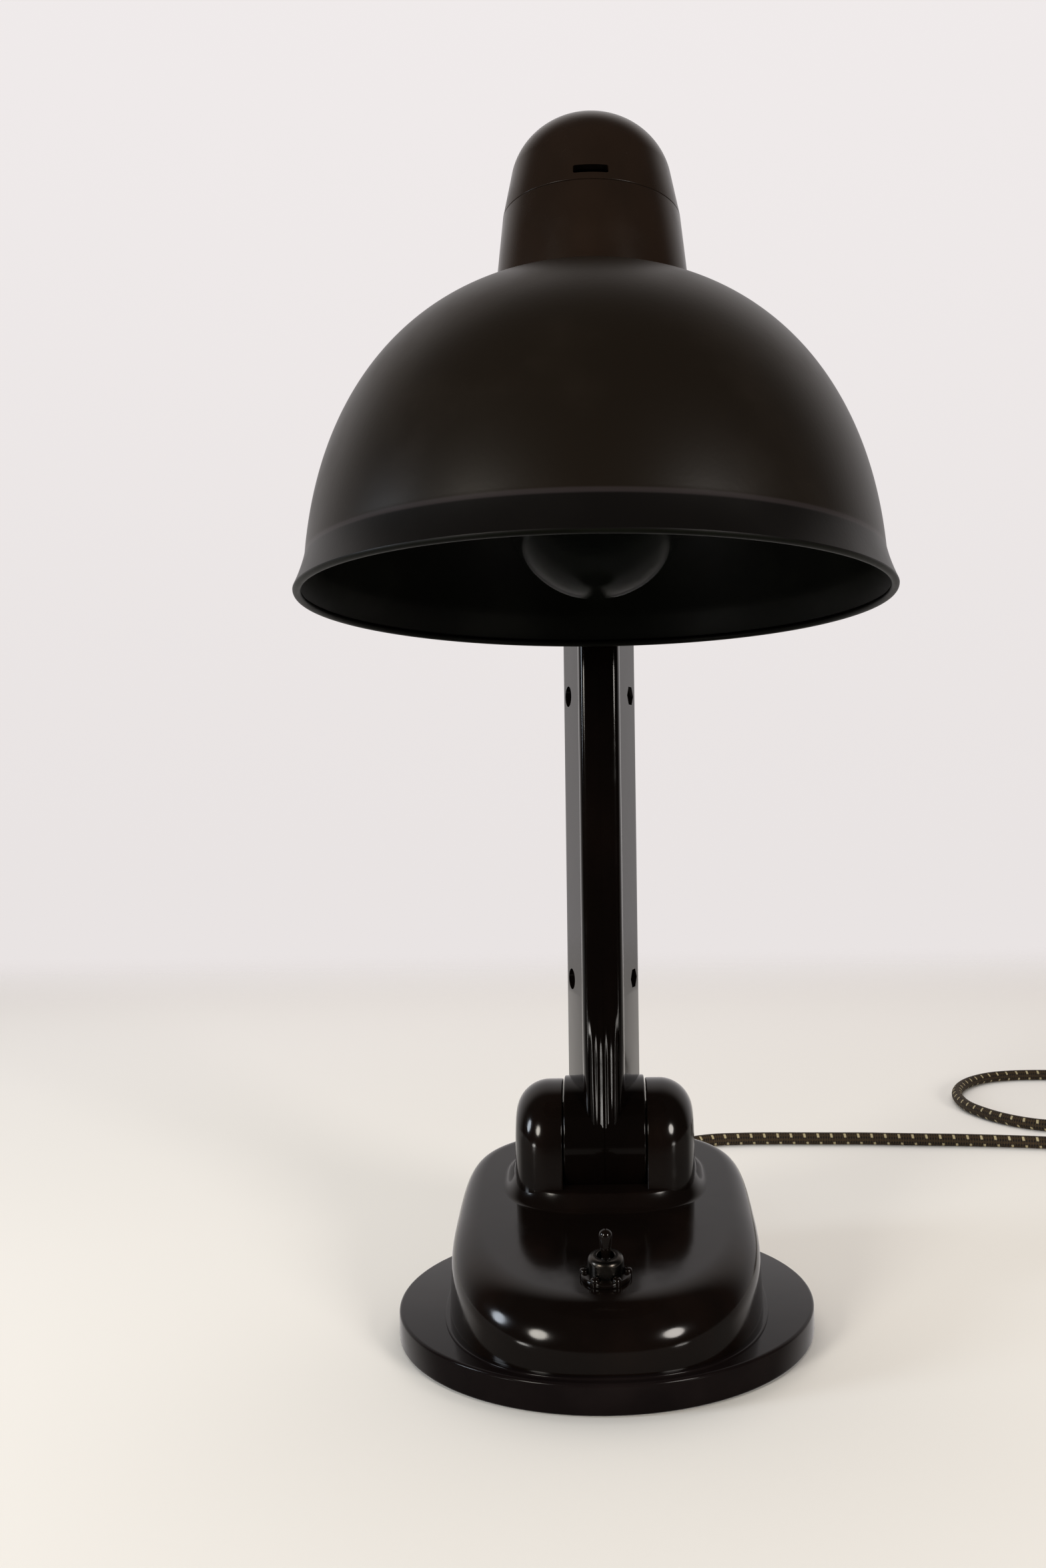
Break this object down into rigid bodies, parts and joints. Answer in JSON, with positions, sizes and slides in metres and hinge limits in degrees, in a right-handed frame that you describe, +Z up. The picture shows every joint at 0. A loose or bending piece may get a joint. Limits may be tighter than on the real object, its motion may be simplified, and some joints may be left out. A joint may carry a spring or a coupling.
{
  "type": "desk lamp",
  "caption": "Moulded-resin desk lamp: round weighted base with toggle switch, straight tilting arm, tilting domed metal shade, textile cord and plug.",
  "frame": {"origin": "centre of the round base's underside, where the felt meets the table", "axes": "+Z up, -Y towards the front, where the switch and the shade are; +X to the right seen from the front"},
  "size_m": [0.618, 0.6332, 0.4364],
  "materials": {
    "bakelite": "polished dark brown-black moulded phenolic",
    "bakelite_brown": "satin dark brown moulded phenolic",
    "base_enamel": "cast iron under glossy dark stove enamel",
    "shade_paint": "satin dark brown-black paint on spun steel",
    "steel": "dull, darkened with age",
    "dark_nickel": "tarnished nickel",
    "brass": "plain",
    "nickel_cap": "plain",
    "felt": "dark green felt",
    "gland_rubber": "matte",
    "lead_sleeve": "sleeved wire",
    "switch_block": "moulded",
    "fibre": "vulcanised fibre",
    "porcelain": "glazed ceramic",
    "glass": "clear",
    "cord_braid": "dark braid with pale flecks",
    "tie_tape": "woven tape"
  },
  "bodies": {
    "base": {"felt_pad": "felt", "base_disc": "base_enamel", "base_screws": "steel", "base_housing": "bakelite", "cord_gland": "gland_rubber", "base_leads": "lead_sleeve", "switch_body": "switch_block", "switch_terminals": "brass", "switch_bushing": "dark_nickel", "switch_ring_nut": "bakelite", "switch_collar": "dark_nickel", "lower_pivot_bolt": "steel", "lower_pivot_nut": "steel", "lower_friction_washers": "fibre", "cord": "cord_braid", "cord_coil": "cord_braid", "cord_tie": "tie_tape", "cord_tail": "cord_braid", "plug_body": "bakelite", "plug_pins": "brass"},
    "arm": {"arm_left": "bakelite", "arm_right": "bakelite", "arm_screws": "steel", "arm_nuts": "steel", "arm_leads": "lead_sleeve", "upper_pivot_bolt": "steel", "upper_pivot_nut": "steel", "upper_friction_washers": "fibre"},
    "head": {"neck": "bakelite_brown", "cap": "bakelite_brown", "shade": "shade_paint", "shade_ring": "bakelite", "lamp_holder": "porcelain", "screw_shell": "brass", "centre_contact": "brass", "holder_terminals": "brass", "head_leads": "lead_sleeve", "bulb_glass": "glass", "bulb_cap": "nickel_cap"},
    "toggle": {"toggle_lever": "bakelite"}
  },
  "joints": [
    {"name": "arm_tilt", "type": "hinge", "parent": "base", "child": "arm", "pos_m": [0, 0.024, 0.07], "axis": [1, 0, 0], "range_deg": [-30, 40]},
    {"name": "head_tilt", "type": "hinge", "parent": "arm", "child": "head", "pos_m": [0, 0.024, 0.388], "axis": [1, 0, 0], "range_deg": [-45, 2]},
    {"name": "switch_toggle", "type": "hinge", "parent": "base", "child": "toggle", "pos_m": [0, -0.05271, 0.04138], "axis": [1, 0, 0], "range_deg": [0, 22]}
  ]
}
